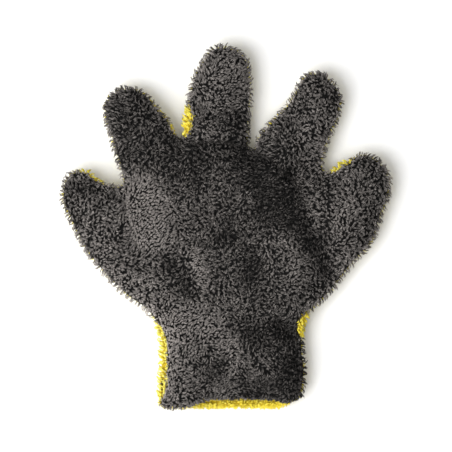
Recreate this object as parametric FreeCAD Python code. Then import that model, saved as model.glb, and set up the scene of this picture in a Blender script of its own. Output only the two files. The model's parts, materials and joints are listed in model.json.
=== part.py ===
"""Five-finger plush wash glove, lying flat: grey plush face up, yellow plush face down.

Millimetres. +Z is up, +Y runs from the cuff to the fingertips and +X to the little finger.
The origin is the middle of the outline, on the face that the glove rests on.

The real panels are single cuts of cloth. Here they are sectioned at the fold lines of the
fingers, so that each section is a rigid solid: the palm with the cuff, one section for the
thumb and one for the little finger, and a root and a tip section for the other three fingers.
"""

import FreeCAD, Part
import math
import os

# ---- Layers, from the resting face up ----
PLUSH = 8.0  # one plush panel: backing cloth and standing pile
LINING = 0.8  # one knitted lining sheet
HOLLOW = 8.4  # the space for the hand between the linings, lying flat
THICKNESS = 2 * (PLUSH + LINING) + HOLLOW
AXIS_Z = THICKNESS / 2  # every fold line runs at mid thickness
EDGE_ROUND = 5.0  # how far the plush rounds off towards the glove's edge
SHORTEST_ROUNDED = 8.0  # the webs between the fingers are shorter than this, and stay square

# ---- Edge seam ----
SEAM_WIDTH = 6.0  # both panels' seam allowance, turned inwards
LINING_GAP = 0.6  # between the lining's edge and the seam

# ---- Folds ----
FOLD_RANGE = 60.0  # degrees, towards the grey face
FOLD_SLACK = 1.5  # extra degrees on each side of a crease
FOLD_GAP = 0.3  # half the slit below a fold line
CREASE_REACH = 4.0  # how far a crease runs past the sides of its finger

# ---- Palm and cuff ----
CUFF_LEFT = -50.0
CUFF_RIGHT = 60.0
CUFF_BOTTOM = -135.0
CUFF_CORNER = 8.0
NECK_Y = -78.0  # where the cuff meets the palm
LEFT_FLANK_FOOT = (-56.0, -62.5)
LEFT_FLANK_BELLY = (-86.5, -36.0)
LEFT_NECK_HOLLOW = (-51.4, -69.0)
RIGHT_FLANK_FOOT = (64.5, -62.5)
RIGHT_FLANK_BELLY = (98.0, -22.0)
RIGHT_NECK_HOLLOW = (61.4, -69.0)

# ---- Cuff hem ----
HEM_DEPTH = 22.0  # from the cuff's end to the hem's stitching
HEM_OUTER = 6.0  # plush left outside the elastic
HEM_INNER = 1.9  # the turned-in layer
HEM_END = 4.0  # the fold at the cuff's end
ELASTIC_THICK = 1.6
ELASTIC_WIDTH = 12.0
LAYER_GAP = 0.2  # between the elastic and the layers round it
STITCH_LENGTH = 3.0
STITCH_PITCH = 5.0
STITCH_THREAD = 0.5


class Finger:
    """One finger. s runs from its fold line to its tip, and t across it, to the right."""

    def __init__(self, name, root, lean, length, root_sides, middle, shoulder, tip_t):
        self.name = name
        self.root = root  # middle of the fold line across the root
        self.lean = math.radians(lean)  # from +Y, positive towards +X
        self.length = length
        self.root_sides = root_sides  # t of the left and right sides at the root
        self.middle = middle  # (s, left t, right t) of the second fold, or None
        self.shoulder = shoulder  # (s, left t, right t) where the round tip starts
        self.tip_t = tip_t

    def point(self, s, t, z=0.0):
        x = self.root[0] + s * math.sin(self.lean) + t * math.cos(self.lean)
        y = self.root[1] + s * math.cos(self.lean) - t * math.sin(self.lean)
        return FreeCAD.Vector(x, y, z)


FINGERS = [
    Finger("thumb", (-94.0, 11.8), -45, 36.0, (-23.0, 23.0), None, (20.0, -16.5, 18.0), 2.0),
    Finger(
        "index_finger", (-57.4, 55.9), -24, 52.0, (-24.0, 24.5),
        (25.0, -20.8, 23.6), (34.0, -19.5, 20.5), 0.0,
    ),
    Finger(
        "middle_finger", (-6.7, 64.6), 5, 71.0, (-25.5, 26.5),
        (35.0, -23.0, 24.8), (50.0, -19.5, 22.5), 1.0,
    ),
    Finger(
        "ring_finger", (48.1, 54.2), 20, 65.5, (-26.5, 24.5),
        (32.0, -19.0, 24.0), (47.0, -14.0, 22.0), 3.0,
    ),
    Finger(
        "little_finger", (95.5, 25.1), 45, 31.5, (-25.5, 28.5),
        None, (12.0, -22.5, 22.5), 0.0,
    ),
]


# ---- Flat shapes ----
def line(a, b):
    return Part.LineSegment(a, b).toShape()


def arc(a, middle, b):
    return Part.Arc(a, middle, b).toShape()


def flat(x, y):
    return FreeCAD.Vector(x, y, 0)


def corner(centre, radius, start_degrees):
    """A quarter circle, clockwise seen from above."""
    points = []
    for turn in (0, 45, 90):
        angle = math.radians(start_degrees - turn)
        points.append(centre + flat(radius * math.cos(angle), radius * math.sin(angle)))
    return arc(*points)


def lifted(face, low, high):
    """A flat face made into a plate from z = low to z = high."""
    plate = face.extrude(FreeCAD.Vector(0, 0, high - low))
    plate.translate(FreeCAD.Vector(0, 0, low))
    return plate


def palm_face():
    """The palm and cuff, clockwise from the cuff's lower left, up to the fold lines."""
    bottom_left = flat(CUFF_LEFT + CUFF_CORNER, CUFF_BOTTOM + CUFF_CORNER)
    bottom_right = flat(CUFF_RIGHT - CUFF_CORNER, CUFF_BOTTOM + CUFF_CORNER)
    left_neck = flat(CUFF_LEFT, NECK_Y)
    right_neck = flat(CUFF_RIGHT, NECK_Y)
    left_foot = flat(*LEFT_FLANK_FOOT)
    right_foot = flat(*RIGHT_FLANK_FOOT)
    ends = []
    for finger in FINGERS:
        ends.append(finger.point(-FOLD_GAP, finger.root_sides[0]))
        ends.append(finger.point(-FOLD_GAP, finger.root_sides[1]))
    edges = [
        corner(bottom_left, CUFF_CORNER, 270),
        line(flat(CUFF_LEFT, bottom_left.y), left_neck),
        arc(left_neck, flat(*LEFT_NECK_HOLLOW), left_foot),
        arc(left_foot, flat(*LEFT_FLANK_BELLY), ends[0]),
    ]
    for a, b in zip(ends, ends[1:]):
        edges.append(line(a, b))
    edges += [
        arc(ends[-1], flat(*RIGHT_FLANK_BELLY), right_foot),
        arc(right_foot, flat(*RIGHT_NECK_HOLLOW), right_neck),
        line(right_neck, flat(CUFF_RIGHT, bottom_right.y)),
        corner(bottom_right, CUFF_CORNER, 0),
        line(flat(bottom_right.x, CUFF_BOTTOM), flat(bottom_left.x, CUFF_BOTTOM)),
    ]
    return Part.Face(Part.Wire(edges))


def strip_face(finger, s_low, s_high, low_sides, high_sides):
    """Part of a finger between two lines across it."""
    corners = [
        finger.point(s_low, low_sides[0]),
        finger.point(s_high, high_sides[0]),
        finger.point(s_high, high_sides[1]),
        finger.point(s_low, low_sides[1]),
    ]
    return Part.Face(Part.makePolygon(corners + corners[:1]))


def tip_face(finger, s_low, sides, inset=0.0):
    """A finger's round end, from a line across it."""
    s_shoulder, left, right = finger.shoulder
    left += inset
    right -= inset
    start = finger.point(s_low, sides[0] + inset)
    left_shoulder = finger.point(s_shoulder, left)
    right_shoulder = finger.point(s_shoulder, right)
    end = finger.point(s_low, sides[1] - inset)
    edges = [
        line(start, left_shoulder),
        arc(left_shoulder, finger.point(finger.length - inset, finger.tip_t), right_shoulder),
        line(right_shoulder, end),
        line(end, start),
    ]
    return Part.Face(Part.Wire(edges))


def inner(sides, inset):
    return sides[0] + inset, sides[1] - inset


# ---- Creases: the cloth that a fold needs out of its way ----
def crease(finger, s, toward):
    """The wedge cut from the section on one side of a fold: toward is -1 below it, 1 beyond it."""
    reach = THICKNESS - AXIS_Z + 1.0
    slope = math.tan(math.radians(FOLD_RANGE / 2 + FOLD_SLACK))
    left = finger.root_sides[0] - CREASE_REACH
    right = finger.root_sides[1] + CREASE_REACH
    outline = []
    for along, up in ((-1.0, 0.0), (FOLD_GAP, 0.0), (FOLD_GAP + reach * slope, reach), (-1.0, reach)):
        outline.append(finger.point(s + toward * along, left, AXIS_Z + up))
    wedge = Part.Face(Part.makePolygon(outline + outline[:1]))
    return wedge.extrude(finger.point(0, right) - finger.point(0, left))


def creased(shape, creases):
    for wedge in creases:
        shape = shape.cut(wedge)
    return shape


# ---- Rounded plush ----
def at_cut(edge, cuts):
    """True if an edge lies on one of the lines where the cloth is sectioned."""
    if len(edge.Vertexes) < 2:
        return False
    for a, b in cuts:
        along = (b - a).normalize()
        off = [((v.Point - a) - along * (v.Point - a).dot(along)).Length for v in edge.Vertexes]
        if max(off) < 0.01 and edge.Curve.TypeId == "Part::GeomLine":
            return True
    return False


def rounded(plate, z, cuts):
    """Rounds the plate's edges at height z, except along the cuts."""
    lifted_cuts = []
    for a, b in cuts:
        lifted_cuts.append((FreeCAD.Vector(a.x, a.y, z), FreeCAD.Vector(b.x, b.y, z)))
    chosen = []
    for edge in plate.Edges:
        level = all(abs(v.Point.z - z) < 1e-6 for v in edge.Vertexes)
        if level and edge.Length > SHORTEST_ROUNDED and not at_cut(edge, lifted_cuts):
            chosen.append(edge)
    return plate.makeFillet(EDGE_ROUND, chosen)


# ---- One section of a finger ----
def finger_section(name, finger, plan, hollow, lining, cuts, creases):
    """The five pieces of a section: plan is its outline, hollow the space inside its seam."""
    front = rounded(lifted(plan, THICKNESS - PLUSH, THICKNESS), THICKNESS, cuts)
    back = rounded(lifted(plan, 0, PLUSH), 0, cuts)
    seam = lifted(plan, PLUSH, THICKNESS - PLUSH)
    seam = seam.cut(lifted(hollow, PLUSH, THICKNESS - PLUSH))
    front_lining = lifted(lining, THICKNESS - PLUSH - LINING, THICKNESS - PLUSH)
    back_lining = lifted(lining, PLUSH, PLUSH + LINING)
    return {
        name + "_front_plush": creased(front, creases),
        name + "_back_plush": creased(back, creases),
        name + "_edge_seam": creased(seam, creases),
        name + "_front_lining": creased(front_lining, creases),
        name + "_back_lining": creased(back_lining, creases),
    }


def across(finger, s):
    return finger.point(s, -1), finger.point(s, 1)


def short_finger(finger):
    """The thumb or the little finger: one section, with one fold at the root."""
    start = FOLD_GAP
    wide = SEAM_WIDTH + LINING_GAP
    plan = tip_face(finger, start, finger.root_sides)
    hollow = tip_face(finger, start - 1.0, finger.root_sides, SEAM_WIDTH)
    lining = tip_face(finger, start, finger.root_sides, wide)
    cuts = [across(finger, start)]
    return finger_section(finger.name, finger, plan, hollow, lining, cuts, [crease(finger, 0, 1)])


def long_finger(finger):
    """A finger of two sections, folding at the root and half way along."""
    wide = SEAM_WIDTH + LINING_GAP
    s_fold = finger.middle[0]
    fold_sides = finger.middle[1:]
    root_start = FOLD_GAP
    root_end = s_fold - FOLD_GAP
    tip_start = s_fold + FOLD_GAP
    pieces = finger_section(
        finger.name + "_root",
        finger,
        strip_face(finger, root_start, root_end, finger.root_sides, fold_sides),
        strip_face(
            finger, root_start - 1.0, root_end + 1.0,
            inner(finger.root_sides, SEAM_WIDTH), inner(fold_sides, SEAM_WIDTH),
        ),
        strip_face(
            finger, root_start, root_end, inner(finger.root_sides, wide), inner(fold_sides, wide)
        ),
        [across(finger, root_start), across(finger, root_end)],
        [crease(finger, 0, 1), crease(finger, s_fold, -1)],
    )
    pieces.update(
        finger_section(
            finger.name + "_tip",
            finger,
            tip_face(finger, tip_start, fold_sides),
            tip_face(finger, tip_start - 1.0, fold_sides, SEAM_WIDTH),
            tip_face(finger, tip_start, fold_sides, wide),
            [across(finger, tip_start)],
            [crease(finger, s_fold, 1)],
        )
    )
    return pieces


# ---- Palm ----
def inside_palm(inset, low, high):
    """The palm's outline drawn in by inset, but open along the fold lines of the fingers."""
    shape = lifted(palm_face().makeOffset2D(-inset, join=2), low, high)
    openings = []
    for finger in FINGERS:
        sides = inner(finger.root_sides, inset)
        opening = strip_face(finger, -2 * inset, -FOLD_GAP, sides, sides)
        openings.append(lifted(opening, low, high))
    return shape.fuse(openings).removeSplitter()


def above_hem(shape):
    """The part of a palm piece between the fingers and the hem."""
    return shape.cut(hem_zone(CUFF_BOTTOM - 1.0, CUFF_BOTTOM + HEM_DEPTH))


def hem_zone(y_low, y_high):
    width = CUFF_RIGHT - CUFF_LEFT + 20.0
    corner_point = FreeCAD.Vector(CUFF_LEFT - 10.0, y_low, -1.0)
    return Part.makeBox(width, y_high - y_low, THICKNESS + 2.0, corner_point)


def palm_cuts():
    """The lines along which the palm's plush isn't rounded: the fold lines and the hem's top."""
    y = CUFF_BOTTOM + HEM_DEPTH
    cuts = [(flat(CUFF_LEFT, y), flat(CUFF_RIGHT, y))]
    for finger in FINGERS:
        cuts.append(across(finger, -FOLD_GAP))
    return cuts


def palm_pieces():
    outline = palm_face()
    creases = [crease(finger, 0, -1) for finger in FINGERS]
    front = above_hem(lifted(outline, THICKNESS - PLUSH, THICKNESS))
    back = above_hem(lifted(outline, 0, PLUSH))
    hollow = inside_palm(SEAM_WIDTH, PLUSH, THICKNESS - PLUSH)
    seam = above_hem(lifted(outline, PLUSH, THICKNESS - PLUSH)).cut(hollow)
    side_seams = lifted(outline, HEM_OUTER, THICKNESS - HEM_OUTER)
    side_seams = side_seams.common(hem_zone(CUFF_BOTTOM + HEM_END, CUFF_BOTTOM + HEM_DEPTH))
    side_seams = side_seams.cut(cuff_channel(SEAM_WIDTH, 0, THICKNESS))
    inset = SEAM_WIDTH + LINING_GAP
    front_lining = inside_palm(inset, THICKNESS - PLUSH - LINING, THICKNESS - PLUSH)
    back_lining = inside_palm(inset, PLUSH, PLUSH + LINING)
    return {
        "palm_front_plush": creased(rounded(front, THICKNESS, palm_cuts()), creases),
        "palm_back_plush": rounded(back, 0, palm_cuts()),
        "palm_edge_seam": creased(seam, creases).fuse(side_seams).removeSplitter(),
        "palm_front_lining": creased(above_hem(front_lining), creases),
        "palm_back_lining": above_hem(back_lining),
    }


# ---- Cuff hem ----
def cuff_channel(side, low, high):
    """A block through the cuff, side away from its left and right edges."""
    width = CUFF_RIGHT - CUFF_LEFT - 2 * side
    start = FreeCAD.Vector(CUFF_LEFT + side, CUFF_BOTTOM - 1.0, low)
    return Part.makeBox(width, HEM_DEPTH + 2.0, high - low, start)


def elastic():
    """One loop in the hem: a strip over the opening, one under it, and a turn at each side."""
    side = SEAM_WIDTH + LAYER_GAP
    low = HEM_OUTER + LAYER_GAP
    high = THICKNESS - HEM_OUTER - LAYER_GAP
    y_low = CUFF_BOTTOM + HEM_END + LAYER_GAP
    band = hem_zone(y_low, y_low + ELASTIC_WIDTH)
    outside = cuff_channel(side, low, high)
    inside = cuff_channel(side + ELASTIC_THICK, low + ELASTIC_THICK, high - ELASTIC_THICK)
    return outside.cut(inside).common(band)


def hem_levels():
    """The turned-in layer's heights in the grey half: its inner face and its outer face."""
    outer = THICKNESS - HEM_OUTER - ELASTIC_THICK - 2 * LAYER_GAP
    return outer - HEM_INNER, outer


def front_hem():
    """The grey half: outer plush, the fold at the cuff's end, and the turned-in layer."""
    outer = lifted(palm_face(), THICKNESS - HEM_OUTER, THICKNESS)
    outer = outer.common(hem_zone(CUFF_BOTTOM - 1.0, CUFF_BOTTOM + HEM_DEPTH))
    top = CUFF_BOTTOM + HEM_DEPTH
    outer = rounded(outer, THICKNESS, [(flat(CUFF_LEFT, top), flat(CUFF_RIGHT, top))])
    low, high = hem_levels()
    side = SEAM_WIDTH + ELASTIC_THICK + 2 * LAYER_GAP
    turned = cuff_channel(side, low, high)
    turned = turned.common(hem_zone(CUFF_BOTTOM, CUFF_BOTTOM + HEM_DEPTH))
    fold = cuff_channel(CUFF_CORNER, low, THICKNESS - HEM_OUTER)
    fold = fold.common(hem_zone(CUFF_BOTTOM, CUFF_BOTTOM + HEM_END))
    return outer.fuse([turned, fold]).removeSplitter()


def back_hem(front):
    """The yellow half is the grey half turned over about mid thickness."""
    mirrored = front.mirror(FreeCAD.Vector(0, 0, AXIS_Z), FreeCAD.Vector(0, 0, 1))
    return mirrored


def hem_stitching():
    """Two rows of stitches that close the hem, on the faces that the wrist passes."""
    low = hem_levels()[0]
    start = CUFF_LEFT + SEAM_WIDTH + STITCH_PITCH
    y = CUFF_BOTTOM + HEM_DEPTH - 2.0
    stitches = []
    count = int((CUFF_RIGHT - CUFF_LEFT - 2 * SEAM_WIDTH) / STITCH_PITCH) - 1
    for i in range(count):
        for z in (low - STITCH_THREAD, THICKNESS - low):
            place = FreeCAD.Vector(start + i * STITCH_PITCH, y, z)
            stitches.append(Part.makeBox(STITCH_LENGTH, STITCH_THREAD, STITCH_THREAD, place))
    return Part.makeCompound(stitches)


# ---- The whole glove ----
def all_pieces():
    pieces = palm_pieces()
    pieces["cuff_front_hem"] = front_hem()
    pieces["cuff_back_hem"] = back_hem(pieces["cuff_front_hem"])
    pieces["cuff_elastic"] = elastic()
    pieces["cuff_hem_stitching"] = hem_stitching()
    for finger in FINGERS:
        build = long_finger if finger.middle else short_finger
        pieces.update(build(finger))
    return pieces


def centring(pieces):
    """The move that brings the middle of the outline to the origin."""
    box = Part.makeCompound(list(pieces.values())).BoundBox
    return FreeCAD.Vector(-box.Center.x, -box.Center.y, -box.ZMin)


def build():
    pieces = all_pieces()
    move = centring(pieces)
    for shape in pieces.values():
        shape.translate(move)
    return pieces, move


def main():
    os.makedirs("parts", exist_ok=True)
    pieces, move = build()
    for name, shape in pieces.items():
        shape.exportStep("parts/" + name + ".step")
        print(name, len(shape.Solids), "solids", round(shape.Volume), "mm3")
    print("moved by", move)


main()
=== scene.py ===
"""A five-finger plush wash glove, laid flat: long grey pile on top, yellow pile underneath."""

import json
import math

import bpy
import numpy as np
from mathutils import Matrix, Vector
from mathutils.geometry import delaunay_2d_cdt


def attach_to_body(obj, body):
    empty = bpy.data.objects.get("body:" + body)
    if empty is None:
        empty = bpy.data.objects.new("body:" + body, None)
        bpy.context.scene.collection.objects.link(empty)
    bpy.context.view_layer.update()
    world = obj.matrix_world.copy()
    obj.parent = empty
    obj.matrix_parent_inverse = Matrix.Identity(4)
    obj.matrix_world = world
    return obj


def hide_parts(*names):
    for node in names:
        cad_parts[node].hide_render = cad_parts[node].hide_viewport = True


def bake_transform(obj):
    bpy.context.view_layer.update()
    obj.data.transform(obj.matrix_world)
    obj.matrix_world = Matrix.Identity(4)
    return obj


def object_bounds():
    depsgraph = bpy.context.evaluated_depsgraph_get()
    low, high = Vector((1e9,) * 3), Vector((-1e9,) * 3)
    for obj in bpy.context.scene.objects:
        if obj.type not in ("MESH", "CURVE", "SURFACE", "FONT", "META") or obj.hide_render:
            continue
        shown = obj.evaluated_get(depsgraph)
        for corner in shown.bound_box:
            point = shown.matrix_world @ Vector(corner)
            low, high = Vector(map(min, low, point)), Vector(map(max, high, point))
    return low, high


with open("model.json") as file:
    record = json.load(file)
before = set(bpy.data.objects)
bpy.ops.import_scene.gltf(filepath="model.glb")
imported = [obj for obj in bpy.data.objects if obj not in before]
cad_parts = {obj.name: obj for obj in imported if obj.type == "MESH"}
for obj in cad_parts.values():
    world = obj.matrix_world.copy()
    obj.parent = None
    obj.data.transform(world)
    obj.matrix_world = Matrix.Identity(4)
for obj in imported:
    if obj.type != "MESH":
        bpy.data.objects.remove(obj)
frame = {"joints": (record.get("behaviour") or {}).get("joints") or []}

cad_low, cad_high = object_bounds()
MM = 0.001

# Lengths below are in millimetres. First the cloth.
CELL = 1.7  # edge length of the cloth's triangles
JITTER = 0.24  # how far its points stray from an even grid, as a share of CELL
MIDDLE = 13.0  # height of the side seam above the floor
GREY_RISE = 8.8  # how far the grey cloth crowns above the seam
YELLOW_DROP = 9.4  # how far the yellow cloth hangs below it
CROWN_WIDTH = 36.0  # distance from the seam at which the crown is full
CREST, CREST_CUT = 22.0, 0.55  # above this height the grey cloth's crests lose this share
FLOOR_CLEAR = 3.6  # the pile under the yellow cloth is pressed to this height
ROLL_WIDTH = 13.0  # how far in from the seam the cloth can roll
MOUTH = cad_low.y / MM + 5.0  # the lower edge of the yellow cloth
GREY_SHORT = 7.2  # in its middle the grey cloth's lower edge ends this much higher up
SHAPE_SCALE = 1.25  # on all the heights in SHAPES
MOUTH_FADE = 30.0  # above the mouth, over this distance, the cloth takes its full shape
GREY_WAVE, YELLOW_WAVE = 0.55, 0.35  # height of the waves that the elastic draws up
EVEN_ROUNDS = 6  # rounds of evening out before the simulation

CLOTH_FRAMES = 20  # length of the cloth simulation
CLOTH_SCALE = 10  # it runs on a larger copy
MOST_MOVE = 4.0  # no point of the cloth moves further than this in it

# What is inside: lining, seam allowance, hem, elastic and stitches.
LAYER = 1.6  # from the plush cloth to the lining inside it
CUFF_LAYER = 2.2  # further distance in the cuff, where the hem lies between
LINING_START = 16.0  # how far above the mouth the lining starts
ALLOWANCE, ALLOWANCE_WAVE = 2.3, 0.25  # half width of the turned seam, and its overlocked ripple
ALLOWANCE_THICK, THICK_WAVE = 0.75, 0.2
HEM_DEPTH = 22.0  # from the mouth to the flap's end
LIP_ROWS = 8  # rows of points round the lip, and as many along the flap
ELASTIC_HALF = 6.0  # half the band's width
STITCH_STEP = 5.0
STITCH_LENGTH = 3.0
STITCH_ROWS = (6.0, 3.0)  # how far below the flap's end the two rows lie
THREAD = 0.12  # the thread's radius at a stitch's ends
THREAD_RISE = 0.35  # height of a stitch's arch

# The pile.
PILE_LENGTH = 4.7  # the plush fibres
PILE_REACH = 2.6  # how far the leaning pile stands out past the cloth
GREY_STRANDS = 3.0  # strands for each triangle of flat cloth
YELLOW_STRANDS = 2.1
HEM_STRANDS = 4
GREY_THICK = 0.42  # a strand's thickness
YELLOW_THICK = 0.55
HEM_THICK = 0.45
LIP_PILE, FLAP_PILE = 0.85, 0.4  # length of the hem's pile, as a share of the full length
WEB_PILE = 0.6  # and of the pile between the fingers
LOCK_SEED = 77  # the locks are the same for every piece, so that they meet across its edge
LOCK_LEAN = (25, 60)  # degrees by which the locks lean
LOCK_LENGTH = (0.78, 1.08)  # their length, as a share of the full length
LAY_SCATTER = 0.35  # how far a lock's lie differs from its neighbours'
LIE, LIE_SCATTER = -1.9, 0.8  # the way the pile lies, in radians from the right
SWIRLS, SWIRL_LENGTH, SWIRL_TURN = 14, (18, 60), 0.62  # slow waves that turn it
NAP_AND_SHADE_LIMITS = (-1.15, 1.7)
CLUMP = (0.5, 0.9)  # how far a strand's tip is drawn to its lock's tip
TIP_SCATTER = 0.32
BEND_HEIGHT = (0.42, 0.6)  # height of a strand's bend, as a share of its length
BEND_SCATTER = 0.2
BEND_CLUMP = 0.35  # how far the bend is drawn to its lock's middle
ROOT_DEPTH = 0.5  # strands start this far inside the cloth
STRAND_RINGS = ((0.0, 0.85), (0.68, 1.1))  # place along a strand, and its width there
LEAST_HEIGHT = 0.15  # no strand goes below this
LOCK_TONE, STRAND_TONE, NAP_PAINTED_SHADE = 0.26, 0.6, 0.5  # how far each changes a strand's brightness; the share from the lie of the pile is painted light and shade
STRAND_FACES = 9
MOST_FACES = 190000  # in one piece of pile
TONE_RANGE = 1.6  # spread of the strands' tones
EDGE_PAINTED_LIGHT = 0.4  # painted light: at the seam less painted root shade, so the strands are pale further down
TUCK = 0.45  # share by which the yellow pile is shorter at the seam

# The root colours are painted shade: each strand darkens towards its root, where shade falls between
# the fibres.
GREY_ROOT_SHADE = (0.0015, 0.0014, 0.0013)
GREY_TIP = ((0.024, 0.022, 0.0205), (0.62, 0.568, 0.532))  # darkest and palest strand
YELLOW_ROOT_SHADE = (0.82, 0.66, 0.05)
YELLOW_TIP = ((0.9, 0.76, 0.07), (0.98, 0.94, 0.25))

# The stage, in metres and watts.
WORLD_LIGHT = 0.42
LAMPS = (("key", (-1.1, -0.64, 1.5), 1.9, 60), ("top", (0.0, 0.3, 1.9), 1.6, 8))  # place, size, power
CAMERA_PLACE = (0.0008, 0.0002)
CAMERA_HEIGHT = 3.0  # above the seam
SEEN_WIDTH = 0.3345  # width of the picture at the seam's height
SENSOR = 36

JOINTS = {joint["name"]: joint for joint in frame["joints"]}

# Each finger's outline in its own frame: distance out from its fold line, then distance to the right of
# its middle line. "sides" is its width at the root; it bends over "bend", and half way over "mid_bend".
FINGERS = {
    "thumb": dict(
        left=[(0, -23.5), (14, -18.6), (26, -12.8), (32.5, -5.3)],
        tip=(35.6, 3),
        right=[(33, 12.6), (28, 17.3), (19, 18.6), (7, 22.5)],
        sides=(-23, 23),
        bend=(-10, 14),
    ),
    "index_finger": dict(
        left=[(0, -24), (10, -22.4), (34.6, -19.4), (46, -14.6)],
        tip=(52, 0),
        right=[(46, 13.4), (37, 18.9), (22, 24.2), (7.5, 26.8)],
        sides=(-24, 26),
        bend=(-10, 12),
        mid_bend=(13, 37),
    ),
    "middle_finger": dict(
        left=[(7, -25.8), (31, -23.4), (46, -21.3), (58, -15.6), (67.5, -10.4)],
        tip=(70.9, 1),
        right=[(68.6, 11.5), (62, 18.9), (52.6, 22.2), (35, 24.4), (17, 24.7), (2, 25.5)],
        sides=(-26, 26.5),
        bend=(-10, 16),
        mid_bend=(18, 52),
    ),
    "ring_finger": dict(
        left=[(5, -27.2), (19, -22.1), (31, -16.8), (48, -12.5), (58, -11.2), (63, -6.6)],
        tip=(65.6, 2.5),
        right=[(62.5, 11.5), (54, 21.8), (43, 25.1), (20, 25), (5, 25.4)],
        sides=(-26.5, 25),
        bend=(-10, 15),
        mid_bend=(17, 47),
    ),
    "little_finger": dict(
        left=[(6, -24.7), (15, -22.0), (25.6, -17.3), (30, -10.8)],
        tip=(31.6, -1),
        right=[(28.8, 9.4), (24.6, 14.8), (15, 22), (6, 26)],
        sides=(-25.5, 27),
        bend=(-10, 14),
    ),
}
# The outline's inner corners between the fingers, and its two sides from the cuff up.
WEBS = [(-77.6, 31.6), (-32.6, 66.0), (20.0, 57.6), (75.2, 41.6)]
LEFT_SIDE = [
    (-51.0, -132.0), (-49.5, -105.0), (-50.3, -81.3), (-58.2, -64.2),
    (-73.2, -53.0), (-96.4, -29.2), (-105.6, -15.5),
]
RIGHT_SIDE = [
    (108.8, -13.7), (95.3, -29.0), (76.2, -52.9), (64.2, -63.9), (60.0, -75.4),
    (59.0, -90.0), (60.7, -107.0), (58.5, -122.0), (54.0, -132.0),
]

# Swellings (positive) and creases (negative) of the grey cloth: their line, half width and height.
SHAPES = [
    ([(-55.5, 23.0), (-44.5, -10.0)], 11.0, 3.2),  # mound beside the thumb
    ([(-75.0, 31.0), (-71.5, 8.0), (-63.0, -14.0)], 4.5, -4.5),  # thumb's root
    ([(-71.5, 35.5), (-48.0, 32.0)], 5.0, -3.0),  # index finger's root
    ([(-34.5, -26.5), (-20.0, -51.0)], 5.0, -3.8),
    ([(-15.0, -26.5), (-9.5, -47.0)], 6.0, 1.8),
    ([(32.0, -17.5), (35.0, -48.5)], 7.0, -4.2),
    ([(47.0, -20.0), (46.5, -34.0)], 8.0, 2.6),
    ([(46.0, -7.0), (44.0, -9.0)], 5.0, 1.6),
    ([(54.0, 45.0), (58.5, 15.5), (69.0, -10.0), (77.5, -34.0)], 8.0, -5.6),  # below the ring finger
    ([(15.0, 38.0), (24.5, 8.0)], 12.0, 2.6),
    ([(-14.0, 88.0), (18.5, 89.5)], 5.5, -4.5),  # half way along the middle finger
    ([(8.0, 56.5), (18.5, 45.0)], 6.0, -3.2),
    ([(-4.0, 106.0), (-1.0, 113.0)], 11.0, 1.8),
    ([(-68.0, 56.5), (-62.0, 58.0)], 7.0, -3.2),
    ([(54.0, 89.5), (57.5, 56.5)], 4.5, -2.4),
    ([(18.5, -68.0), (56.0, -71.0)], 5.5, -5.0),  # wrist
    ([(15.0, -86.0), (13.0, -92.0)], 13.0, 2.6),
    ([(-9.0, -108.0), (-4.0, -109.0)], 7.0, -2.6),
    ([(97.5, 8.0), (92.5, -14.0)], 6.0, 2.2),
    ([(-19.0, 61.0), (0.0, 63.0), (16.0, 59.5)], 2.4, -6.0),  # middle finger's root
    ([(21.0, 57.0), (36.0, 48.0), (48.0, 36.0)], 2.4, -5.0),  # ring finger's root
    ([(38.0, -66.0), (44.0, -76.0), (57.0, -80.0)], 2.6, -3.5),
]

# Where the yellow cloth rolls up round the edge and shows from above: centre, radius, amount.
ROLLS = [
    ((-50.0, -101.0), 31.0, 4.2),
    ((60.5, -72.0), 10.0, 4.2),
    ((-29.5, 77.5), 11.5, 5.2),
    ((85.0, 46.0), 10.0, 2.2),
    ((-98.0, 38.0), 13.0, 1.4),
    ((-46.0, 88.0), 12.0, 1.2),
]
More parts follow.
